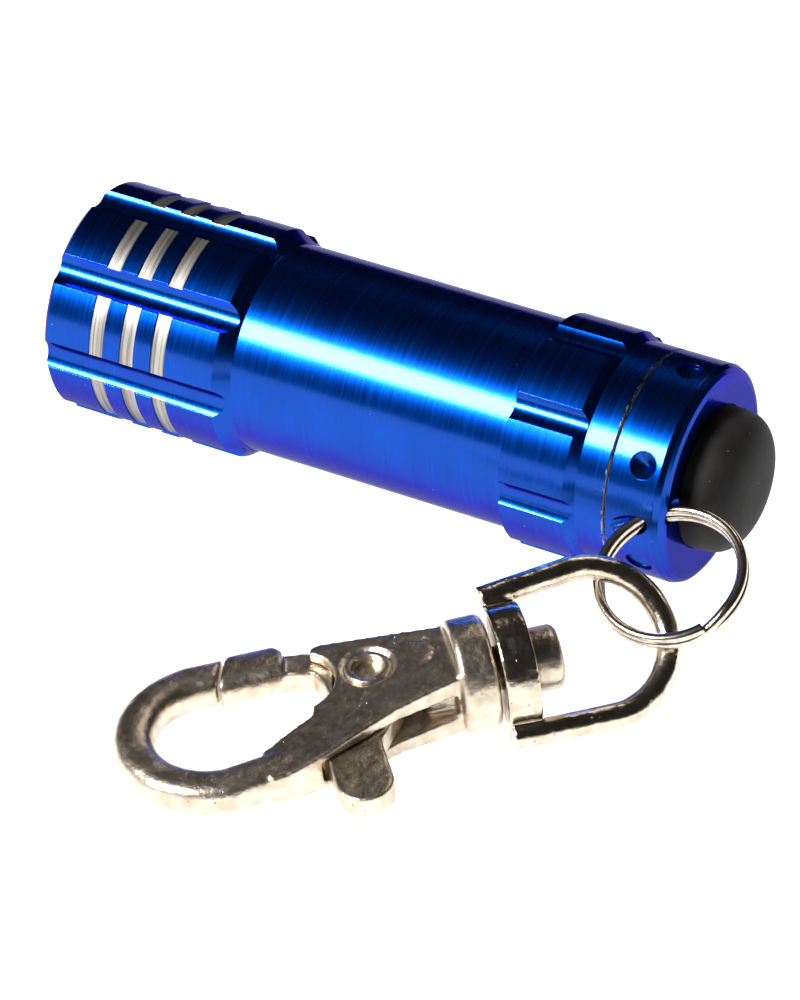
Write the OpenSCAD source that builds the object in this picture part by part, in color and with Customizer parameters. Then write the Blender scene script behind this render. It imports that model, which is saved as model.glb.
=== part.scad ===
// Keychain flashlight: a turned aluminium light with three LEDs, lying on its side,
// with a split ring, a swivel eye and a trigger hook on its tail cap.
// The light runs along +X from the head's front rim to the rubber button.
// +Z is up, z = 0 is the table, and the origin is under the middle of the whole object.

/* [Light] */
// Diameter of the head
head_d = 19.0; // [18.6:0.1:19.4]
// Length of the head's plain cylinder, from the front rim
head_len = 15.7; // [15.4:0.1:16.2]
// Diameter of the slim barrel
barrel_d = 17.16; // [17.0:0.02:17.3]
// Where the collar's square front step stands
collar_x = 41.46; // [41.2:0.02:41.7]
// Length of the collar's plain cylinder
collar_len = 5.6; // [5.2:0.1:5.8]
// Diameter of the collar
collar_d = 18.84; // [18.6:0.02:19.0]
// Diameter of the neck and of the tail cap
cap_d = 17.72; // [17.6:0.02:17.8]
// Where the tail cap meets the body
seam_x = 50.39; // [50.2:0.01:50.6]
// Where the tail cap's flat end stands
tail_x = 55.35; // [55.2:0.01:55.5]

/* [Grip] */
// Number of lengthwise flutes round the head and the collar
flute_count = 8; // [4:1:12]
// Radius of the cutter that mills the flutes
flute_cutter_r = 1.55; // [1.3:0.05:1.7]
// Distance from the axis to the bottom of a head flute
flute_floor_r = 8.75; // [8.65:0.05:9.1]
// Angle of the first flute from the top, towards the front
flute_start = 3.4; // [0:0.1:44]
// Number of bare turned bands round the head
band_count = 3; // [1:1:4]
// Width of one band
band_w = 1.3; // [0.8:0.1:1.8]
// Distance between two bands
band_pitch = 2.85; // [2.4:0.05:3.0]
// Number of pin-spanner dimples round the cap
dimple_count = 6; // [3:1:8]

/* [Light source and power] */
// Diameter of an LED
led_d = 5.0; // [4.8:0.1:5.0]
// Diameter of a button cell
cell_d = 11.6; // [11.4:0.1:11.7]
// Thickness of a button cell
cell_t = 5.4; // [5.0:0.1:5.4]

/* [Button] */
// Diameter of the rubber button where it leaves the cap
button_d = 11.5; // [11.0:0.1:11.56]
// How far the button stands out of the cap
button_rise = 4.0; // [3.0:0.1:4.2]

/* [Key ring] */
// Outer diameter of the split ring
ring_d = 12.1; // [12.0:0.05:12.2]
// Diameter of the ring's wire
ring_wire = 0.84; // [0.8:0.02:0.86]
// Diameter of the hole through the cap's edge
ring_hole_d = 1.8; // [1.78:0.02:1.86]

/* [Hook] */
// Diameter of the flange at the root of the hook
flange_d = 8.8; // [8.6:0.1:8.8]
// Thickness of the flange
flange_t = 2.6; // [2.4:0.1:2.6]
// Diameter of the swivel neck
neck_d = 3.32; // [3.3:0.02:3.36]
// Diameter of the peened head on the end of the neck
peen_d = 5.0; // [4.6:0.1:5.2]
// Radius of the bow's centre line
bow_r = 6.0; // [5.9:0.05:6.05]
// Width of the bow's bar, in the plane of the hook
bow_w = 3.2; // [3.0:0.1:3.3]
// Thickness of the bow's bar, across the hook
bow_t = 2.9; // [2.6:0.1:3.0]
// Thickness of the gate where it runs between the two plates
gate_t = 1.9; // [1.8:0.05:1.94]
// Diameter of the eye's boss
boss_d = 9.36; // [9.2:0.02:9.36]
// Diameter of the eye's bar
eye_wire = 2.0; // [1.9:0.05:2.0]

/* [Hidden] */
$fn = 96;

// The middle of the whole object, seen from above, in the light's own frame
middle = [31.864, -19.05];

head_r = head_d / 2;
barrel_r = barrel_d / 2;
collar_r = collar_d / 2;
cap_r = cap_d / 2;
axis_z = head_r - 0.027;

// The inside of the body, from front to tail
rim_t = 0.4;
cavity_r = 7.95;
board_stop_x = 15.4;
bore_r = 7.35;
thread_x = 43.4;
thread_r = 8.0;

// The tail cap's inside
cap_tube_x = 43.7;
cap_tube_r = 7.92;
cap_bore_r = 6.6;
cap_shoulder_x = 52.6;
button_hole_r = button_d / 2 + 0.07;
seal_groove_x = 49.3;
seal_groove_w = 1.0;
seal_wire_r = 0.45;
seal_r = 7.5;

// The switch
housing_x = 44.6;
housing_len = 5.4;
well_x = 46.0;
well_r = 3.4;
press_travel = 1.2;
button_base_x = 51.3;
plunger_x = 48.6;
plunger_end_x = 54.9;

// The power path: one node for each LED and each button cell
led_count = 3;
cell_count = 4;
cells_x = 18.6;
sleeve_x = 17.6;
sleeve_end_x = 41.3;

// The key ring, hook and eye, in the light's own frame
hole_at = [54.2, -7.72, 9.8];
hole_dir = [0.785, 0.538, 0.309];
ring_at = [57.67, -11.64, 7.82];
ring_normal = [-0.026, -0.4695, 0.883];
hook_at = [47.4, -26.8, 4.377];
hook_turn = [4.2, -6.0, 41.6];
eye_base_x = 2.95;
eye_turn = [38.0, 9.5, 4.6];
boss_t = 2.6;
eye_arm = 8.1;
eye_half = 6.9 - eye_wire / 2;
eye_flare = 0.5;
eye_flush = (eye_half - eye_flare) * tan(eye_turn[2]);
peen_x = eye_base_x + boss_t + 0.2;
peen_end_x = 8.0;

// The hook's own plan: x runs along the swivel from the bow to the eye, y across it
bow_at = [-18.9, -0.9];
nose_x = -17.05;
rivet_at = [-6.5, 0.8];
slot_half = gate_t / 2 + 0.07;
rivet_r = 1.6;
rivet_bore_r = 1.3;
plate_z0 = 1.95;
plate_slope = 0.078;

// A place in the light's frame, with z = 0 on the table
module placed() {
    translate([-middle[0], -middle[1], 0]) children();
}

// Drawn upright about Z, then laid along the light: z becomes the station along X
module along() {
    placed() translate([0, 0, axis_z]) rotate([0, 90, 0]) children();
}

// Turned so that the children's +X points outward at an angle from the top, towards the front
module at_angle(a) {
    rotate([0, 0, 180 + a]) children();
}

// A plain ring or tube about the light's axis
module sleeve(r_out, r_in, x0, x1) {
    difference() {
        translate([0, 0, x0]) cylinder(r = r_out, h = x1 - x0);
        translate([0, 0, x0 - 1]) cylinder(r = r_in, h = x1 - x0 + 2);
    }
}

module torus(r, wire_r) {
    rotate_extrude() translate([r, 0]) circle(r = wire_r, $fn = 32);
}

// A cylinder of radius r from a, along direction d
module rod(a, d, r, h, centre = false) {
    tilt = acos(d[2] / norm(d));
    spin = atan2(d[1], d[0]);
    translate(a) rotate([0, tilt, spin]) cylinder(r = r, h = h, center = centre, $fn = 48);
}

// A conical coil spring about Z: a round wire swept along a helix, with a straight leg off its end
function coil_point(r, a, z, run) = [r * cos(a) - run * sin(a), r * sin(a) + run * cos(a), z];
module coil(r0, r1, z0, z1, turns, wire_r, leg = 0) {
    steps = round(14 * turns);
    last = leg > 0 ? steps + 1 : steps;
    sides = 8;
    points = [
        for (i = [0:last])
            let (t = min(i / steps, 1), a = 360 * turns * t, r = r0 + (r1 - r0) * t, z = z0 + (z1 - z0) * t)
            for (k = [0:sides - 1])
                let (b = 360 * k / sides)
                coil_point(r + wire_r * cos(b), a, z + wire_r * sin(b), i > steps ? leg : 0)
    ];
    skin = [
        for (i = [0:last - 1])
            for (k = [0:sides - 1])
                let (p = i * sides + k, q = i * sides + (k + 1) % sides)
                [p, p + sides, q + sides, q]
    ];
    start_cap = [for (k = [0:sides - 1]) k];
    end_cap = [for (k = [sides - 1:-1:0]) last * sides + k];
    polyhedron(points = points, faces = concat(skin, [start_cap, end_cap]), convexity = 6);
}

// ---------------------------------------------------------------- light

module body_outline() {
    polygon([
        [0, 0], [head_r - 0.35, 0], [head_r, 0.35], [head_r, head_len],
        [barrel_r, head_len + 1.25], [barrel_r, collar_x], [collar_r, collar_x],
        [collar_r, collar_x + collar_len], [cap_r, collar_x + collar_len + 0.8],
        [cap_r, seam_x - 0.16], [cap_r - 0.13, seam_x - 0.03], [0, seam_x - 0.03]
    ]);
}

module flutes(x0, x1, floor_r) {
    for (i = [0:flute_count - 1])
        at_angle(flute_start + i * 360 / flute_count)
            translate([floor_r + flute_cutter_r, 0, x0])
                cylinder(r = flute_cutter_r, h = x1 - x0, $fn = 48);
}

module bands() {
    for (i = [0:band_count - 1])
        sleeve(head_r + 1, head_r - 0.12, 4.3 + i * band_pitch, 4.3 + i * band_pitch + band_w);
}

module body_tube() {
    color("mediumblue") along() difference() {
        rotate_extrude() body_outline();
        translate([0, 0, -1]) cylinder(r = cavity_r, h = board_stop_x + 1);
        translate([0, 0, board_stop_x - 1]) cylinder(r = bore_r, h = thread_x - board_stop_x + 2);
        translate([0, 0, thread_x]) cylinder(r = thread_r, h = seam_x - thread_x + 1);
        flutes(-1, head_len + 3, flute_floor_r);
        flutes(collar_x - 0.2, collar_x + collar_len + 2, flute_floor_r + 0.15);
        bands();
    }
}

module lens_ring() {
    color("mediumblue") along() difference() {
        sleeve(cavity_r - 0.03, 6.9, rim_t, rim_t + 0.9);
        for (a = [0, 180])
            at_angle(a) translate([6.5, -0.6, rim_t - 0.1]) cube([1, 1.2, 0.5]);
    }
}

module lens_window() {
    color("white", 0.4) along() translate([0, 0, rim_t + 0.92]) cylinder(r = cavity_r - 0.05, h = 1.2);
}

module lens_seal() {
    color("black") along() translate([0, 0, rim_t + 2.6]) torus(7.35, 0.45);
}

// The LEDs stand on a circle about the axis
led_pitch_r = 3.9;
module on_led(i) {
    at_angle(i * 360 / led_count) translate([led_pitch_r, 0, 0]) children();
}

module led_reflector() {
    color("silver") along() difference() {
        sleeve(cavity_r - 0.03, 0.01, 3.5, 9.4);
        for (i = [0:led_count - 1])
            on_led(i) {
                cylinder(r = led_d / 2 + 0.05, h = 12);
                translate([0, 0, 3.4]) cylinder(r1 = 3.25, r2 = led_d / 2, h = 2.6);
            }
    }
}

module led(i) {
    color("white", 0.8) along() on_led(i) {
        translate([0, 0, 7.1]) sphere(r = led_d / 2);
        translate([0, 0, 7.1]) cylinder(r = led_d / 2, h = 5.1);
        translate([0, 0, 11.2]) cylinder(r = led_d / 2 + 0.4, h = 1.0);
        for (y = [-1.27, 1.27])
            translate([0, y, 12]) cylinder(r = 0.25, h = 2.18, $fn = 24);
    }
}
module led_1() { led(0); }
module led_2() { led(1); }
module led_3() { led(2); }

module led_board() {
    color("darkgreen") along() translate([0, 0, board_stop_x - 1.2]) cylinder(r = cavity_r - 0.05, h = 1.18);
}

module front_contact_spring() {
    color("silver") along() coil(4.2, 2.2, board_stop_x + 0.4, cells_x - 0.35, 3, 0.28);
}

module battery_sleeve() {
    color("dimgray") along() sleeve(bore_r - 0.05, cell_d / 2 + 0.1, sleeve_x, sleeve_end_x);
}

// A button cell: a wide can, and the narrower cap that a gasket holds in it
module cell(i) {
    color("silver") along() translate([0, 0, cells_x + i * cell_t]) {
        cylinder(r = cell_d / 2 - 0.9, h = 0.7);
        translate([0, 0, 0.6]) cylinder(r = cell_d / 2, h = cell_t - 0.62);
    }
}
module cell_1() { cell(0); }
module cell_2() { cell(1); }
module cell_3() { cell(2); }
module cell_4() { cell(3); }

// ---------------------------------------------------------------- tail cap and switch

module cap_outline() {
    polygon([
        [0, cap_tube_x], [cap_tube_r - 0.3, cap_tube_x], [cap_tube_r, cap_tube_x + 0.3],
        [cap_tube_r, seal_groove_x], [seal_r - 0.5, seal_groove_x],
        [seal_r - 0.5, seal_groove_x + seal_groove_w], [cap_tube_r, seal_groove_x + seal_groove_w],
        [cap_tube_r, seam_x + 0.01], [cap_r - 0.13, seam_x + 0.01], [cap_r, seam_x + 0.14],
        [cap_r, tail_x - 0.8], [cap_r - 0.2, tail_x - 0.35], [cap_r - 0.52, tail_x - 0.12],
        [cap_r - 0.95, tail_x], [0, tail_x]
    ]);
}

module dimple() {
    rotate([0, -90, 0]) {
        translate([0, 0, -cap_r - 1]) cylinder(r = 1.1, h = 1.4, $fn = 48);
        translate([0, 0, -cap_r + 0.4]) cylinder(r1 = 1.1, r2 = 0, h = 0.6, $fn = 48);
    }
}

module tail_cap() {
    color("mediumblue") difference() {
        along() difference() {
            rotate_extrude() cap_outline();
            translate([0, 0, cap_tube_x - 1]) cylinder(r = cap_bore_r, h = cap_shoulder_x - cap_tube_x + 1);
            translate([0, 0, cap_shoulder_x - 1]) cylinder(r = button_hole_r, h = 6);
            for (i = [0:dimple_count - 1])
                at_angle(i * 360 / dimple_count - 1.5) translate([0, 0, 53.05]) dimple();
        }
        placed() rod(hole_at, hole_dir, ring_hole_d / 2, 12, true);
    }
}

module cap_seal() {
    color("black") along() translate([0, 0, seal_groove_x + seal_groove_w / 2])
        torus(seal_r, seal_wire_r - 0.02);
}

module switch_ring() {
    color("goldenrod") along() difference() {
        sleeve(cap_bore_r - 0.03, 5.0, cap_tube_x + 0.05, housing_x - 0.02);
        for (a = [90, 270])
            at_angle(a) translate([4.6, -0.5, cap_tube_x - 0.1]) cube([1.2, 1.0, 0.6]);
    }
}

module switch_housing() {
    color("black") along() difference() {
        translate([0, 0, housing_x]) cylinder(r = cap_bore_r - 0.05, h = housing_len);
        translate([0, 0, well_x]) cylinder(r = well_r, h = housing_len);
    }
}

module tail_contact_spring() {
    color("silver") along() coil(2.0, 4.2, cells_x + cell_count * cell_t + 0.4, housing_x - 0.35, 3, 0.28);
}

// The button's side rises straight, then closes in a flat dome
function dome(t) = [button_d / 2 * pow(1 - pow(t, 2.6), 1 / 2.2), tail_x + 0.9 + (button_rise - 0.9) * t];
module rubber_button() {
    steps = 14;
    color("#262423") along() difference() {
        union() {
            rotate_extrude() polygon(concat(
                [[0, button_base_x], [button_d / 2, button_base_x]],
                [for (i = [0:steps]) dome(i / steps)]
            ));
            translate([0, 0, button_base_x])
                cylinder(r = cap_bore_r - 0.1, h = cap_shoulder_x - button_base_x - 0.04);
        }
        translate([0, 0, button_base_x - 1]) cylinder(r = 3.2, h = plunger_end_x - button_base_x + 1.02);
    }
}

module switch_plunger() {
    color("ivory") along() difference() {
        translate([0, 0, plunger_x]) cylinder(r = 3.15, h = plunger_end_x - plunger_x);
        translate([0, 0, plunger_x - 1]) cylinder(r = 1.2, h = 2.6);
    }
}

module switch_spring() {
    color("silver") along() coil(2.4, 2.4, well_x + 0.3, plunger_x - 0.3, 3, 0.22);
}

// ---------------------------------------------------------------- split ring

module split_ring() {
    tilt = acos(ring_normal[2] / norm(ring_normal));
    spin = atan2(ring_normal[1], ring_normal[0]);
    wire_r = ring_wire / 2;
    color("silver") placed() translate(ring_at) rotate([0, tilt, spin]) rotate_extrude()
        for (side = [-1, 1])
            translate([ring_d / 2 - wire_r, side * (wire_r - 0.03)]) circle(r = wire_r, $fn = 32);
}

// ---------------------------------------------------------------- hook and eye

module on_hook() {
    placed() translate(hook_at) rotate(hook_turn) children();
}

// Laid along the hook's swivel: z becomes the station along the hook's x
module on_swivel() {
    on_hook() rotate([0, 90, 0]) children();
}

module eye_bar(a, b) {
    rod(a, b - a, eye_wire / 2, norm(b - a));
}

module swivel_eye() {
    top = eye_half - eye_flare;
    color("lightgray") {
        on_swivel() difference() {
            translate([0, 0, eye_base_x]) cylinder(d = boss_d, h = boss_t);
            translate([0, 0, eye_base_x - 1]) cylinder(d = neck_d + 0.16, h = boss_t + 2);
        }
        on_hook() translate([eye_base_x, 0, 0]) rotate([eye_turn[0], 0, 0]) rotate([0, 0, eye_turn[2]])
            rotate([0, eye_turn[1], 0]) {
                for (side = [-1, 1]) {
                    eye_bar([side * eye_flush, side * top, 0], [eye_arm, side * eye_half, 0]);
                    translate([eye_arm, side * eye_half, 0]) sphere(d = eye_wire + 0.05, $fn = 48);
                }
                translate([eye_arm, 0, 0]) rotate([0, 0, -90]) rotate_extrude(angle = 180)
                    translate([eye_half, 0]) circle(d = eye_wire, $fn = 48);
            }
    }
}

// Plan of the casting between the flange and the near arm of the bow
module plate_plan() {
    difference() {
        union() {
            polygon([
                [0.2, -3.1], [-5.5, -4.6], [-11.6, -7.3], [-14.6, -8.1], [-15.9, -8.2],
                [-15.9, -4.9], [-14.3, -3.9], [-11.6, -2.6], [-9.5, 3.6], [-9.3, 4.75], [0.2, 3.0]
            ]);
            translate([-9.6, 3.95]) circle(r = 0.8);
        }
        translate([-12.15, 1.4]) circle(r = 3.15);
    }
}

// Side view of the casting: thin at the bow, thicker towards the flange
module plate_side() {
    half_bow = bow_t / 2 - 0.2;
    half_mid = plate_z0;
    half_root = plate_z0 + plate_slope * 10;
    polygon([
        [-17, -half_bow], [-15, -half_bow], [-10, -half_mid], [0.2, -half_root],
        [0.2, half_root], [-10, half_mid], [-15, half_bow], [-17, half_bow]
    ]);
}

// The bar's section: a rounded box, flatter across than a circle
function rounded(v) = sign(v) * pow(abs(v), 0.75);
module bow_section(w = bow_w, t = bow_t) {
    polygon([for (k = [0:23]) [w / 2 * rounded(cos(15 * k)), t / 2 * rounded(sin(15 * k))]]);
}

module bow() {
    translate([bow_at[0], bow_at[1], 0]) {
        rotate([0, 0, 90]) rotate_extrude(angle = 180) translate([bow_r, 0]) bow_section();
        rotate([90, 0, 90]) linear_extrude(height = nose_x - bow_at[0] + 1.2)
            translate([bow_r, 0]) bow_section();
        translate([0, -bow_r, 0]) rotate([90, 0, 99]) linear_extrude(height = 5.6) bow_section();
    }
}

// The slanting face where the gate's nose meets the bow: x on the face for a given y
function nose_face(y) = nose_x + 0.37 * (y - bow_at[1] - bow_r);

module hook_body() {
    color("lightgray") {
        on_swivel() rotate_extrude() polygon([
            [0, -0.3], [flange_d / 2 - 0.3, -0.3], [flange_d / 2, 0], [flange_d / 2, flange_t - 0.3],
            [flange_d / 2 - 0.3, flange_t], [neck_d / 2, flange_t], [neck_d / 2, peen_x],
            [peen_d / 2, peen_x], [peen_d / 2, peen_end_x - 0.4], [peen_d / 2 - 0.4, peen_end_x],
            [0, peen_end_x]
        ]);
        on_hook() difference() {
            bow();
            translate([0, 0, -4]) linear_extrude(height = 8) polygon([
                [nose_face(2) - 0.08, 2], [nose_face(9) - 0.08, 9], [-12, 9], [-12, 2]
            ]);
        }
        on_hook() difference() {
            intersection() {
                translate([0, 0, -4]) linear_extrude(height = 8) plate_plan();
                rotate([90, 0, 0]) translate([0, 0, -10]) linear_extrude(height = 20) plate_side();
            }
            translate([-11.9, -12, -slot_half]) cube([9.1, 12.1, 2 * slot_half]);
            translate([-2.9, -12, -slot_half]) cube([2.3, 9.6, 2 * slot_half]);
            translate([-13, -0.1, -slot_half]) cube([10.2, 12, 2 * slot_half]);
            translate([rivet_at[0], rivet_at[1], -4]) cylinder(r = rivet_r + 0.02, h = 8);
            for (side = [0, 1])
                mirror([0, 0, side]) translate([rivet_at[0], rivet_at[1], plate_z0])
                    cylinder(r = 2.1, h = 2);
            for (side = [0, 1])
                mirror([0, 0, side]) translate([-2.9, 1.0, plate_z0 + plate_slope * 7.1 - 0.12])
                    difference() {
                        cylinder(r = 1.75, h = 2);
                        translate([0, 0, -1]) cylinder(r = 1.45, h = 4);
                    }
        }
    }
}

module gate_plan() {
    translate(rivet_at) circle(r = 3.3);
    polygon([[-12.6, 3.4], [-12.6, 5.6], [-10.6, 5.3], [-7, 4.06], [-5, 1.5], [-9, -1], [-10.4, 2.9]]);
    polygon([
        [-9.6, 0], [-3.6, -0.8], [-5.3, -3.6], [-7.1, -6.0], [-7.1, -10.3], [-11.4, -10.3],
        [-11.4, -5.0], [-10.4, -2.6]
    ]);
    translate([-9.25, -10.0]) circle(r = 2.15);
}

module hook_gate() {
    nose_h = 2.85;
    color("lightgray") on_hook() difference() {
        union() {
            translate([0, 0, -gate_t / 2]) linear_extrude(height = gate_t) gate_plan();
            intersection() {
                rotate([90, 0, 90]) translate([5.1, 0, -20])
                    linear_extrude(height = 20) bow_section(3.9, nose_h);
                translate([0, 0, -nose_h / 2]) linear_extrude(height = nose_h) polygon([
                    [nose_face(3.4) + 0.16, 3.4], [nose_face(6.8) + 0.16, 6.8], [-15.9, 7.0], [-12.9, 6.8],
                    [-12.2, 5.6], [-12.5, 3.4], [-13.0, 3.1], [nose_face(3.1) + 0.4, 3.1]
                ]);
            }
        }
        translate([rivet_at[0], rivet_at[1], -4]) cylinder(r = rivet_r + 0.06, h = 8);
        translate([rivet_at[0], rivet_at[1], 0.1]) cylinder(r = 2.75, h = 2);
        translate([rivet_at[0] + 0.5, rivet_at[1] - 3.6, 0.1]) cube([4, 2.6, 2]);
    }
}

module gate_rivet() {
    head_t = plate_slope * 3.5;
    color("lightgray") on_hook() translate([rivet_at[0], rivet_at[1], 0]) difference() {
        union() {
            cylinder(r = rivet_r, h = 2 * plate_z0 + 0.02, center = true);
            for (side = [0, 1])
                mirror([0, 0, side]) translate([0, 0, plate_z0 + 0.01])
                    cylinder(r1 = 1.9, r2 = 1.7, h = head_t);
        }
        for (side = [0, 1])
            mirror([0, 0, side]) translate([0, 0, plate_z0 - 0.4]) cylinder(r = rivet_bore_r, h = 2);
    }
}

module gate_spring() {
    color("silver") on_hook() translate([rivet_at[0], rivet_at[1], 0]) rotate([0, 0, -72])
        coil(2.25, 2.25, 0.42, 0.62, 0.95, 0.22, leg = 3.2);
}

body_tube();
lens_ring();
lens_window();
lens_seal();
led_reflector();
led_1();
led_2();
led_3();
led_board();
front_contact_spring();
battery_sleeve();
cell_1();
cell_2();
cell_3();
cell_4();
tail_cap();
cap_seal();
switch_ring();
switch_housing();
tail_contact_spring();
rubber_button();
switch_plunger();
switch_spring();
split_ring();
swivel_eye();
hook_body();
hook_gate();
gate_rivet();
gate_spring();
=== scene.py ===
# %% [markdown]
# # A turned aluminium key-ring light with a trigger hook
# The object is small, so every surface is seen close: turning lines, an anodised skin, plated
# castings and one rubber button. The measured model comes in as a fixed frame, and each step
# below adds one finish or one piece on top of it. All lengths in the meshes are metres, and the
# numbers in the text are millimetres.

# %% Load the measured frame
import math
import bpy
import numpy as np
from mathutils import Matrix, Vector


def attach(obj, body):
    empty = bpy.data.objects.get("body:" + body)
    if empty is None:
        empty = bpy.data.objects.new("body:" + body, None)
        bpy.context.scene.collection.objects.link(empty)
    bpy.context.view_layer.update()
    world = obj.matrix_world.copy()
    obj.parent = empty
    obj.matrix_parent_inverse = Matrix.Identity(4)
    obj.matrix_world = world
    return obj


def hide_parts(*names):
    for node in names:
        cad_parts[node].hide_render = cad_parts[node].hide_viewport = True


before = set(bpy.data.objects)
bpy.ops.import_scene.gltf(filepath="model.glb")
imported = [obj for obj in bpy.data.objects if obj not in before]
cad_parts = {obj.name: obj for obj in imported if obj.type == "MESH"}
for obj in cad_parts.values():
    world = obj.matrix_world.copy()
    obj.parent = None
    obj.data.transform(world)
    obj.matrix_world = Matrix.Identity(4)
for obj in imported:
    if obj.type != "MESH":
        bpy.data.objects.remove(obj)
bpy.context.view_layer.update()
MM = 0.001
AXIS_Y, AXIS_Z = 19.05, 9.473     # the light's axis, in mm
FRONT_X = -31.864                 # the front rim, in mm
print("nodes:", len(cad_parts))

# %% [markdown]
# ## Small tools for materials
# A procedural material is a chain of small nodes. One function that adds a node, and takes either
# a number or another node's output for each input, keeps the chain readable. Colours are written
# as the sRGB hex values a designer would pick, and one function turns them linear.

# %% Colour and node helpers
def linear(code, alpha=1.0):
    """sRGB hex to linear RGBA: divide by 12.92 near black, else the 2.4 power of (c + 0.055) / 1.055."""
    c = np.array([int(code[i:i + 2], 16) for i in (1, 3, 5)]) / 255
    c = np.where(c <= 0.04045, c / 12.92, ((c + 0.055) / 1.055) ** 2.4)
    return (*c.tolist(), alpha)


def add(tree, kind, inputs=None, **settings):
    """Adds a shader node. inputs maps a socket's name or number to a value or to another socket."""
    node = tree.nodes.new("ShaderNode" + kind)
    for key, value in settings.items():
        setattr(node, key, value)
    for key, value in (inputs or {}).items():
        if isinstance(value, bpy.types.NodeSocket):
            tree.links.new(value, node.inputs[key])
        else:
            node.inputs[key].default_value = value
    return node


def maths(tree, operation, a, b=0.0, c=0.0):
    """One arithmetic step; MULTIPLY_ADD gives a * b + c."""
    return add(tree, "Math", {0: a, 1: b, 2: c}, operation=operation).outputs[0]


def ramp(tree, value, low, high, to_low=0.0, to_high=1.0):
    """Smooth step of value from low to high."""
    node = add(tree, "MapRange", {"Value": value, "From Min": low, "From Max": high,
                                  "To Min": to_low, "To Max": to_high},
               interpolation_type="SMOOTHSTEP", clamp=True)
    return node.outputs["Result"]


def blend_colour(tree, factor, a, b):
    """Goes from colour a at factor 0 to colour b at factor 1."""
    node = add(tree, "Mix", {"Factor": factor, 6: a, 7: b}, data_type="RGBA")
    return node.outputs[2]


def noise(tree, vector, scale, detail=2.0, roughness=0.5, distortion=0.0):
    """Soft noise from 0 to 1, with scale in cells per unit of the vector."""
    node = add(tree, "TexNoise", {"Vector": vector, "Scale": scale, "Detail": detail,
                                  "Roughness": roughness, "Distortion": distortion})
    return node.outputs["Fac"]


def material(name):
    """A new material with an empty tree and its output node."""
    made = bpy.data.materials.new(name)
    made.use_nodes = True
    made.node_tree.nodes.clear()
    return made, made.node_tree


def close(tree, shader):
    """Sends a shader to the material's output."""
    out = add(tree, "OutputMaterial")
    tree.links.new(shader, out.inputs["Surface"])


def paint(name, made):
    """Gives a material to every slot of a CAD node or piece."""
    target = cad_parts.get(name) or bpy.data.objects[name]
    if not target.data.materials:
        target.data.materials.append(made)
    for used in target.material_slots:
        used.material = made
    print(name, "is finished in", made.name)


# %% [markdown]
# ## Coordinates that follow the lathe
# Marks left by a lathe run round the part, so they depend on the distance along the axis and hardly
# on the angle. Object coordinates in millimetres, moved so that the light's axis is their X axis,
# give both the distance along it and the radius, and every turned finish is built from those two.

# %% Lathe coordinates
def lathe(tree):
    """Returns (point in mm about the light's axis, x along it in mm, radius in mm)."""
    place = add(tree, "TexCoord").outputs["Object"]
    point = add(tree, "Mapping", {"Vector": place, "Scale": (1000, 1000, 1000),
                                  "Location": (-FRONT_X, -AXIS_Y, -AXIS_Z)}).outputs[0]
    split = add(tree, "SeparateXYZ", {0: point})
    flat = add(tree, "CombineXYZ", {1: split.outputs[1], 2: split.outputs[2]}).outputs[0]
    radius = add(tree, "VectorMath", {0: flat}, operation="LENGTH").outputs["Value"]
    return point, split.outputs[0], radius


def millimetres(tree):
    """The object's own coordinates, in mm."""
    place = add(tree, "TexCoord").outputs["Object"]
    return add(tree, "Mapping", {"Vector": place, "Scale": (1000, 1000, 1000)}).outputs[0]


def stretch(tree, vector, scale):
    """Scales a vector along each axis, so that noise read from it is drawn out."""
    return add(tree, "Mapping", {"Vector": vector, "Scale": scale}).outputs[0]


def soft_edge(tree, radius):
    """A normal rounded over the mesh's hard edges, as tumbling and plating round a real one."""
    return add(tree, "Bevel", {"Radius": radius * MM}, samples=6).outputs[0]


def bump(tree, height, size, normal=None):
    """size is the depth, in mm, of height going from 0 to 1."""
    inputs = {"Strength": 1.0, "Distance": size * MM, "Height": height}
    if normal is not None:
        inputs["Normal"] = normal
    return add(tree, "Bump", inputs).outputs[0]


# %% [markdown]
# ## Anodised aluminium
# The body is turned from aluminium bar and anodised: a clear, hard oxide a few hundredths of a
# millimetre thick, dyed blue. Light goes through the dyed oxide, off the metal and out again, so the
# reflection itself is blue, and a weaker white one comes off the oxide's own surface. A metallic base
# with a thin coat says the same thing. The lathe's feed marks show through as fine rings. Real ones
# are a few hundredths of a millimetre apart, too fine to see, so they are drawn 0.2 mm apart. Three
# bands are turned after the dye, so they are bare metal. At the joint with the cap the edges meet
# every time the cap is screwed home, and the dye has chipped away.

# %% Bare metal on the anodised parts
BAND_X, BAND_PITCH, BAND_COUNT, BAND_W = 4.95, 2.85, 3, 1.3    # the bare bands round the head
BAND_FLOOR_R = 9.38
SEAM_X, SEAM_R = 50.36, 8.63                                   # the edge where the cap meets the body
RINGS_PER_MM = 5.0


def bare_bands(tree, x, radius):
    """1 within half a width of a band's middle and at the depth of its floor, else 0."""
    from_first = maths(tree, "SUBTRACT", x, BAND_X)
    nearest = maths(tree, "PINGPONG", from_first, BAND_PITCH / 2)
    in_band = ramp(tree, nearest, BAND_W / 2 - 0.05, BAND_W / 2 + 0.01, 1.0, 0.0)
    depth = maths(tree, "ABSOLUTE", maths(tree, "SUBTRACT", radius, BAND_FLOOR_R))
    at_floor = ramp(tree, depth, 0.03, 0.05, 1.0, 0.0)
    first = BAND_X - 1.05
    last = BAND_X + (BAND_COUNT - 1) * BAND_PITCH + 0.85
    behind_first = ramp(tree, x, first, first + 0.1)
    in_head = maths(tree, "MULTIPLY", behind_first, ramp(tree, x, last, last + 0.1, 1.0, 0.0))
    return maths(tree, "MULTIPLY", maths(tree, "MULTIPLY", in_band, at_floor), in_head)


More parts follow.
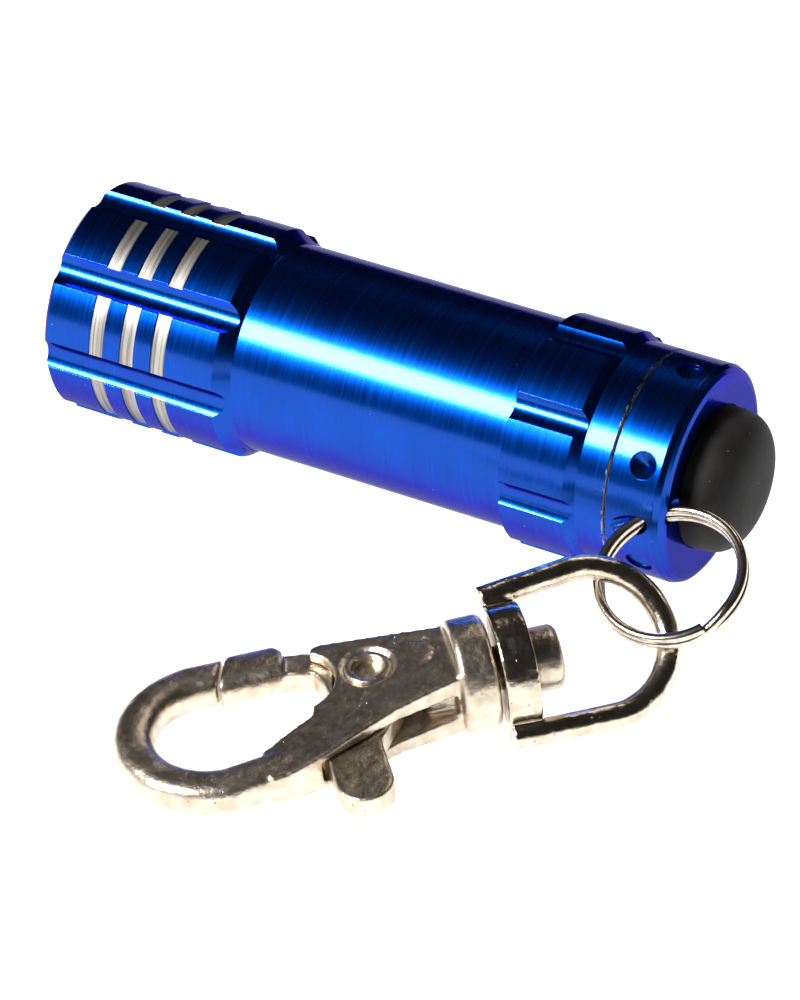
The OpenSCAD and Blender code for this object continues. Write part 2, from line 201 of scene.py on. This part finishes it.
def chipped_edge(tree, point, x, radius):
    """1 where the distance to the cap's joint is under a width that wanders with a gritty noise."""
    to_seam = maths(tree, "ABSOLUTE", maths(tree, "SUBTRACT", x, SEAM_X))
    grit = noise(tree, stretch(tree, point, (6.0, 1.6, 1.6)), 1.0, 4.0, 0.7)
    chip_width = ramp(tree, grit, 0.38, 0.62, 0.02, 0.19)
    chipped = maths(tree, "LESS_THAN", to_seam, chip_width)
    return maths(tree, "MULTIPLY", chipped, ramp(tree, radius, SEAM_R - 0.03, SEAM_R + 0.03))


def nicks(tree, point):
    """A few specks 0.1 mm across, one near the middle of each cell of a coarse pattern."""
    cell = add(tree, "TexVoronoi", {"Vector": point, "Scale": 0.55}).outputs["Distance"]
    return ramp(tree, cell, 0.018, 0.03, 1.0, 0.0)


print("bands at", [round(BAND_X + i * BAND_PITCH, 2) for i in range(BAND_COUNT)], "mm from the front rim")

# %% [markdown]
# ## The anodised skin over it
# The dye's own tone drifts slowly over the bar. Along the feed marks the colour is also painted
# lighter and darker in fine rings, on the dye and on the bare bands alike: a painted reflection that
# stands in for the highlight broken up by the grooves. The same marks tilt the surface, both under
# the clear coat and on top of it, and that breaks the long highlight into fine lines.

# %% Anodised aluminium
def anodised(name):
    made, tree = material(name)
    point, x, radius = lathe(tree)
    fine = noise(tree, stretch(tree, point, (RINGS_PER_MM, 0.06, 0.06)), 1.0, 4.0, 0.75)
    broad = noise(tree, stretch(tree, point, (2.2, 0.05, 0.05)), 1.0, 2.0)
    cloud = noise(tree, point, 0.22, 3.0)
    dye_and_painted_rings = blend_colour(tree, ramp(tree, cloud, 0.35, 0.7), linear("#003d9b"), linear("#0042a5"))
    # painted reflection: fine rings of lighter and darker blue along the feed marks stand in for the
    # highlight broken by the grooves
    dye_and_painted_rings = blend_colour(tree, ramp(tree, fine, 0.56, 0.72, 0.0, 0.45), dye_and_painted_rings, linear("#0050c4"))
    dye_and_painted_rings = blend_colour(tree, ramp(tree, fine, 0.28, 0.44, 0.45, 0.0), dye_and_painted_rings, linear("#002f7c"))
    worn = maths(tree, "MAXIMUM", chipped_edge(tree, point, x, radius), nicks(tree, point))
    bare = maths(tree, "MAXIMUM", bare_bands(tree, x, radius), worn)
    # painted reflection: the bare metal is painted lighter and darker along the same rings
    painted_ring_lines = ramp(tree, fine, 0.38, 0.62)
    metal = blend_colour(tree, painted_ring_lines, linear("#7d7974"), linear("#b2aea9"))
    colour = blend_colour(tree, bare, dye_and_painted_rings, metal)
    base_rough = maths(tree, "MULTIPLY_ADD", fine, 0.20, 0.16)
    rough = maths(tree, "MULTIPLY_ADD", bare, 0.20, base_rough)
    cut = maths(tree, "ADD", fine, maths(tree, "MULTIPLY", broad, 0.6))
    edge = soft_edge(tree, 0.07)
    shader = add(tree, "BsdfPrincipled", {
        "Base Color": colour, "Metallic": 1.0, "Roughness": rough, "Normal": bump(tree, cut, 0.0065, edge),
        "Specular Tint": linear("#1a3f92"), "Coat Weight": maths(tree, "MULTIPLY_ADD", bare, -0.18, 0.18),
        "Coat Roughness": 0.13, "Coat IOR": 1.6, "Coat Normal": bump(tree, cut, 0.004, edge)})
    close(tree, shader.outputs[0])
    return made


blue = anodised("anodised_aluminium_blue_turned")
for node_name in ("body_tube", "tail_cap", "lens_ring"):
    paint(node_name, blue)

# %% [markdown]
# ## Nickel-plated casting
# The hook, its gate and the eye are zinc die castings, barrel-polished and plated with nickel. The
# metal flows into a warm, slightly wavy skin, so highlights wobble and corners are soft. A fine grain
# and a few pits stay from the mould. The polish has taken more of that grain off the eye's thin bar
# than off the hook's broad plates, so the same finish is used with two amounts of grit.

# %% Nickel-plated casting
def cast_nickel(name, edge, grit):
    """grit: how much of the casting's grain the polish has left, from 0 to 1."""
    made, tree = material(name)
    point = millimetres(tree)
    swell = noise(tree, point, 0.55, 2.0, 0.45)
    ripple = noise(tree, point, 2.6, 3.0, 0.6, 0.4)
    cell = add(tree, "TexVoronoi", {"Vector": point, "Scale": 1.7}).outputs["Distance"]
    where = ramp(tree, noise(tree, point, 0.35, 2.0), 0.50, 0.68)
    pits = maths(tree, "MULTIPLY", ramp(tree, cell, 0.06, 0.16, 1.0, 0.0), where)
    tone = blend_colour(tree, ramp(tree, noise(tree, point, 0.8, 4.0), 0.3, 0.75),
                        linear("#dacdbb"), linear("#bcae9b"))
    colour = blend_colour(tree, pits, tone, linear("#57493c"))
    rough = maths(tree, "MULTIPLY_ADD", ripple, 0.20, 0.04 + 0.19 * grit)
    smooth = bump(tree, swell, 0.16, soft_edge(tree, edge))
    waved = bump(tree, ripple, 0.02, smooth)
    grain = noise(tree, point, 5.0, 3.0, 0.6)
    grained = bump(tree, grain, 0.024 * grit, waved)
    normal = bump(tree, maths(tree, "MULTIPLY", pits, -1.0), 0.04, grained)
    shader = add(tree, "BsdfPrincipled", {
        "Base Color": colour, "Metallic": 1.0, "Roughness": rough, "IOR": 1.5, "Normal": normal})
    close(tree, shader.outputs[0])
    return made


nickel = cast_nickel("nickel_plated_zinc_casting", 0.25, 1.0)
for node_name in ("hook_body", "hook_gate", "gate_rivet"):
    paint(node_name, nickel)
paint("swivel_eye", cast_nickel("nickel_plated_zinc_polished", 0.2, 0.3))


# %% [markdown]
# ## Softer corners on the castings
# The measured model has sharp corners, and a casting has none. A Remesh modifier rebuilds the solid on
# a grid of small cubes, and a Smooth modifier then relaxes it, which rounds every corner by about as
# much as a tumbling barrel does. The cubes are small next to the thinnest bar, 2 mm across.

# %% Softer corners
def soften(name, voxel, passes):
    """Rounds a casting: the solid is rebuilt on a fine grid and its corners are relaxed."""
    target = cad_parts[name]
    grid = target.modifiers.new("grid", "REMESH")
    grid.mode = "VOXEL"
    grid.voxel_size = voxel * MM
    grid.use_smooth_shade = True
    relax = target.modifiers.new("relax", "SMOOTH")
    relax.factor = 0.5
    relax.iterations = passes
    print(name, "is rebuilt on", voxel, "mm cubes and relaxed", passes, "times")


soften("hook_body", 0.15, 9)
soften("hook_gate", 0.12, 7)
soften("swivel_eye", 0.13, 7)

# %% [markdown]
# ## Drawn steel wire
# The split ring and the springs are drawn wire, plated and bright, with a faint cloudy haze where the
# plating is thin. Haze in the roughness is enough, because the wire is under a millimetre thick.

# %% Drawn steel wire
def wire_steel(name, light, dark):
    made, tree = material(name)
    point = millimetres(tree)
    haze = noise(tree, point, 3.0, 4.0, 0.65)
    colour = blend_colour(tree, ramp(tree, haze, 0.35, 0.7), linear(light), linear(dark))
    rough = maths(tree, "MULTIPLY_ADD", haze, 0.22, 0.10)
    normal = bump(tree, haze, 0.006)
    shader = add(tree, "BsdfPrincipled", {
        "Base Color": colour, "Metallic": 1.0, "Roughness": rough, "IOR": 1.5, "Normal": normal})
    close(tree, shader.outputs[0])
    return made


ring_metal = wire_steel("nickel_plated_steel_wire", "#dcd2c4", "#b9ab9a")
spring_metal = wire_steel("spring_steel_wire", "#c9c9c8", "#9c9b99")
for node_name in ("front_contact_spring", "tail_contact_spring", "switch_spring", "gate_spring"):
    paint(node_name, spring_metal)

# %% [markdown]
# ## Moulded silicone rubber
# The button's skin is black silicone, moulded matte so a thumb does not slip. Dust sticks to it, so
# besides a soft sheen it carries pale specks a few hundredths of a millimetre across.

# %% Moulded rubber
def rubber(name, dusty=1.0):
    made, tree = material(name)
    point = millimetres(tree)
    grain = noise(tree, point, 9.0, 3.0, 0.6)
    smear = noise(tree, point, 0.7, 3.0)
    cell = add(tree, "TexVoronoi", {"Vector": point, "Scale": 2.1}).outputs["Distance"]
    lucky = ramp(tree, noise(tree, point, 1.9, 2.0), 0.55, 0.62)
    specks = maths(tree, "MULTIPLY", ramp(tree, cell, 0.05, 0.09, dusty, 0.0), lucky)
    skin = blend_colour(tree, ramp(tree, smear, 0.3, 0.75), linear("#0f0d0c"), linear("#1b1817"))
    colour = blend_colour(tree, specks, skin, linear("#a8a29a"))
    shader = add(tree, "BsdfPrincipled", {
        "Base Color": colour, "Metallic": 0.0, "Roughness": maths(tree, "MULTIPLY_ADD", grain, 0.2, 0.62),
        "Specular IOR Level": 0.3, "IOR": 1.43, "Normal": bump(tree, grain, 0.012),
        "Sheen Weight": 0.06, "Sheen Roughness": 0.5})
    close(tree, shader.outputs[0])
    return made


button_rubber = rubber("silicone_rubber_black")
seal_rubber = rubber("nitrile_rubber_black", 0.2)
for node_name in ("lens_seal", "cap_seal"):
    paint(node_name, seal_rubber)

# %% [markdown]
# ## What is inside
# The window, LEDs, reflector, cells and switch are mostly hidden, but the window shows the first
# three, and the cap can be screwed off. Each gets the plain finish its material has.

# %% Plain finishes
def plain(name, light, dark, metallic, rough, scale=1.2, depth=0.004, **extra):
    """A simple two-tone finish with a faint grain."""
    made, tree = material(name)
    point = millimetres(tree)
    grain = noise(tree, point, scale, 4.0, 0.6)
    inputs = {"Base Color": blend_colour(tree, grain, linear(light), linear(dark)),
              "Metallic": metallic, "Roughness": maths(tree, "MULTIPLY_ADD", grain, 0.12, rough),
              "IOR": 1.5, "Normal": bump(tree, grain, depth)}
    inputs.update({key.replace("_", " "): value for key, value in extra.items()})
    close(tree, add(tree, "BsdfPrincipled", inputs).outputs[0])
    return made


paint("lens_window", plain("acrylic_clear_polished", "#f4f8fa", "#eef4f6", 0.0, 0.02, 0.6, 0.001,
                           Transmission_Weight=1.0))
led_epoxy = plain("epoxy_clear_cast", "#f6f8ff", "#e9eefc", 0.0, 0.05, 0.8, 0.002, Transmission_Weight=0.85)
for node_name in ("led_1", "led_2", "led_3"):
    paint(node_name, led_epoxy)
paint("led_reflector", plain("vacuum_plated_plastic", "#e6e7ea", "#d5d7db", 1.0, 0.05, 0.7, 0.004))
paint("led_board", plain("circuit_board_green", "#1c5a33", "#174b2b", 0.0, 0.35))
paint("battery_sleeve", plain("nylon_black_moulded", "#1d1d1e", "#262627", 0.0, 0.5))
paint("switch_housing", plain("nylon_black_moulded_2", "#1b1b1c", "#232324", 0.0, 0.45))
paint("switch_plunger", plain("acetal_ivory", "#d9d4c6", "#cdc7b6", 0.0, 0.35))
paint("switch_ring", plain("brass_turned", "#c9a35a", "#a98343", 1.0, 0.22, 2.0))
cell_steel = plain("nickel_plated_steel_sheet", "#c9c8c4", "#b2b1ad", 1.0, 0.22, 0.9)
for node_name in ("cell_1", "cell_2", "cell_3", "cell_4"):
    paint(node_name, cell_steel)

# %% [markdown]
# ## Shapes as grids of points
# A turned or bent piece is a function of two parameters. The grid of its points is worked out as
# whole arrays, and the faces join each point to its neighbours. A profile spun about the light's axis
# makes the button, and a circle carried along a path makes the ring's wire.

# %% Surface helpers
def grid_faces(rows, columns):
    """Quads between neighbouring points of a rows x columns grid whose last column joins its first."""
    i, j = np.meshgrid(np.arange(rows - 1), np.arange(columns), indexing="ij")
    k = (j + 1) % columns
    return np.stack([i * columns + j, i * columns + k, (i + 1) * columns + k, (i + 1) * columns + j],
                    axis=-1).reshape(-1, 4)


def mesh_object(name, points, faces, made_of, body, node):
    """Builds a smooth mesh from points in mm, rides it on a body and lets it stand for a node."""
    mesh = bpy.data.meshes.new(name)
    mesh.from_pydata((points * MM).tolist(), [], faces)
    mesh.validate()
    mesh.shade_smooth()
    made = bpy.data.objects.new(name, mesh)
    bpy.context.scene.collection.objects.link(made)
    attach(made, body)
    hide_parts(node)
    mesh.materials.append(made_of)
    print(name, len(points), "points", len(faces), "faces")
    return made


def spun(profile, around=128):
    """Spins (x, r) stations about the light's axis: y = r cos a, z = r sin a, with the ends closed."""
    a = np.linspace(0, 2 * np.pi, around, endpoint=False)
    x, r = profile[:, 0], profile[:, 1]
    points = np.stack([np.repeat(x + FRONT_X, around),
                       (AXIS_Y + r[:, None] * np.cos(a)).ravel(),
                       (AXIS_Z + r[:, None] * np.sin(a)).ravel()], axis=1)
    faces = grid_faces(len(profile), around)[:, ::-1].tolist()
    first = list(range(around))
    last = list(range((len(profile) - 1) * around, len(profile) * around))[::-1]
    return points, faces + [first, last]


print("a grid of 3 x 4 points has", len(grid_faces(3, 4)), "faces")

# %% [markdown]
# ## The rubber button
# Its side leaves the cap straight, turns over a soft shoulder and closes in a shallow dome. The
# profile is one quarter of a superellipse: nearly flat on top, nearly straight at the side. Below it
# are the straight neck that fills the cap's hole and the flange that the cap clamps. Every station
# is a distance from the front rim and a radius, both in mm.

# %% Rubber button
BUTTON_R, DOME_X, DOME_H = 5.75, 56.25, 3.1
POLE_R = 0.02
turn = np.linspace(0, np.pi / 2, 40)
shoulder_x = DOME_X + DOME_H * np.sin(turn) ** (2 / 2.5)
shoulder_r = np.maximum(BUTTON_R * np.cos(turn) ** (2 / 2.9), POLE_R)
flange = [[51.3, 3.2], [51.3, 6.5], [52.5, 6.5]]
neck = [[52.5, BUTTON_R], [54.0, BUTTON_R], [55.3, BUTTON_R]]
button_profile = np.concatenate([flange, neck, np.stack([shoulder_x, shoulder_r], axis=1)])
points, faces = spun(button_profile)
mesh_object("button_boot", points, faces, button_rubber, "button", "rubber_button")

# %% [markdown]
# ## The split ring
# One wire is coiled into two turns that lie close together, so a key can be worked in between them.
# It starts and ends in a square cut. Beside the cuts the wire steps over from one layer to the other.
# The coil is a circle carried along a path, and this cell has its size, place and the function that
# carries the circle.

# %% Split ring's size and its section
RING_CENTRE = np.array([57.67 + FRONT_X, -11.64 + AXIS_Y, 7.82])
RING_NORMAL = np.array([-0.026, -0.4695, 0.883])
RING_NORMAL = RING_NORMAL / np.linalg.norm(RING_NORMAL)
RING_R, RING_WIRE = 5.63, 0.42    # radii of the coil's centre line and of the wire


def wire_along(path, normal_a, normal_b, radius, sides=20):
    """Carries a circle along a path: point = path + radius (cos a * normal_a + sin a * normal_b)."""
    a = np.linspace(0, 2 * np.pi, sides, endpoint=False)
    across = normal_a[:, None, :] * (radius * np.cos(a))[None, :, None]
    up = normal_b[:, None, :] * (radius * np.sin(a))[None, :, None]
    points = (path[:, None, :] + across + up).reshape(-1, 3)
    faces = grid_faces(len(path), sides).tolist()
    return points, faces + [list(range(sides))[::-1],
                            list(range((len(path) - 1) * sides, len(path) * sides))]


print("ring", round(2 * (RING_R + RING_WIRE), 2), "mm across")

# %% [markdown]
# ## Its two turns
# The angle runs over two turns, less a small gap at each cut end. The height above the ring's middle
# plane is -LAYER on the first turn and +LAYER on the second, and a smooth step of the angle joins
# them over STEP radians round the end of the first turn.

# %% Coiled wire
START = math.radians(150)
LAYER, STEP = 0.40, 0.7
side_a = np.cross(RING_NORMAL, [0, 0, 1.0])
side_a = side_a / np.linalg.norm(side_a)
side_b = np.cross(RING_NORMAL, side_a)
angle = np.linspace(0.04, 4 * np.pi - 0.10, 361)
ease = np.clip((angle - 2 * np.pi + STEP / 2) / STEP, 0, 1)
layer = LAYER * (2 * (3 * ease ** 2 - 2 * ease ** 3) - 1)
outward = side_a * np.cos(angle + START)[:, None] + side_b * np.sin(angle + START)[:, None]
path = RING_CENTRE + outward * RING_R + RING_NORMAL * layer[:, None]
points, faces = wire_along(path, outward, np.repeat(RING_NORMAL[None], len(path), 0), RING_WIRE)
ring = mesh_object("split_ring_wire", points, faces, ring_metal, "ring", "split_ring")
edge = ring.modifiers.new("cut_edge", "BEVEL")
edge.width = 0.05 * MM
edge.limit_method = "ANGLE"
edge.angle_limit = math.radians(60)

# %% [markdown]
# ## Table
# Polished metal shows what is round it, so the room matters more than the lamps. The table is a plain
# white sheet that glows a little. It lights the lower sides and stays white to its edge, while
# everything above its horizon stays dark, and the metal shows one next to the other.

# %% Table
TABLE_HALF = 1.0
made, tree = material("studio_table_white")
close(tree, add(tree, "BsdfPrincipled", {
    "Base Color": linear("#a8a8a8"), "Roughness": 0.7, "IOR": 1.3, "Specular IOR Level": 0.0,
    "Emission Color": linear("#ffffff"), "Emission Strength": 1.35}).outputs[0])
corners = [(x, y, 0) for x, y in ((-1, -1), (1, -1), (1, 1), (-1, 1))]
mesh = bpy.data.meshes.new("table")
mesh.from_pydata((np.array(corners) * TABLE_HALF).tolist(), [], [(0, 1, 2, 3)])
mesh.materials.append(made)
table = bpy.data.objects.new("table", mesh)
bpy.context.scene.collection.objects.link(table)
print("table", 2 * TABLE_HALF, "m across")

# %% [markdown]
# ## Lights
# One compact soft box to the front left draws the long bright band on the turned metal. A lamp's size
# sets how wide that band is, and its power over its area sets how bright. A dim warm card behind the
# object gives the tops of the castings something to show, and the room itself is nearly dark.

# %% Lights
def softbox(name, place, target, size, watts, tint="#ffffff"):
    """A rectangular lamp at a place, facing a target; all in metres."""
    lamp = bpy.data.lights.new(name, "AREA")
    lamp.shape = "RECTANGLE"
    lamp.size, lamp.size_y = size
    lamp.energy = watts
    lamp.color = linear(tint)[:3]
    made = bpy.data.objects.new(name, lamp)
    made.location = place
    direction = Vector(target) - Vector(place)
    made.rotation_mode = "QUATERNION"
    made.rotation_quaternion = direction.to_track_quat("-Z", "Y")
    bpy.context.scene.collection.objects.link(made)
    print(name, watts, "W at", [round(v, 3) for v in made.location])
    return made


AIM = (0.0, 0.012, 0.008)
KEY_WAY, KEY_DISTANCE = Vector((-0.40, -0.677, 0.616)), 0.9
softbox("key_box", Vector(AIM) + KEY_WAY * KEY_DISTANCE, AIM, (0.25, 0.25), 16.0)
softbox("back_card", (-0.10, 0.80, 0.95), AIM, (0.5, 0.3), 1.2, "#fff4e6")

world = bpy.data.worlds.new("dim_room")
bpy.context.scene.world = world
world.use_nodes = True
room = world.node_tree.nodes["Background"]
room.inputs["Color"].default_value = linear("#ffffff")
room.inputs["Strength"].default_value = 0.02
bpy.context.scene.view_settings.view_transform = "Standard"

# %% [markdown]
# ## Camera
# A long lens from 0.4 m away and 34 degrees above the table, a little to the right of the hook, keeps
# the light's two ends nearly the same size. Depth of field is off, so every piece is sharp.

# %% Camera
camera_data = bpy.data.cameras.new("camera")
camera_data.sensor_width = 36
camera_data.lens = 193.6
camera_data.clip_start, camera_data.clip_end = 0.01, 10
camera = bpy.data.objects.new("camera", camera_data)
camera.location = (0.170936, -0.29602, 0.24155)
camera.rotation_mode = "QUATERNION"
camera.rotation_quaternion = Vector((-0.4027, 0.7243, -0.5596)).to_track_quat("-Z", "Y")
bpy.context.scene.collection.objects.link(camera)
bpy.context.scene.camera = camera
print("camera", round(camera.location.length, 3), "m from the middle of the object")
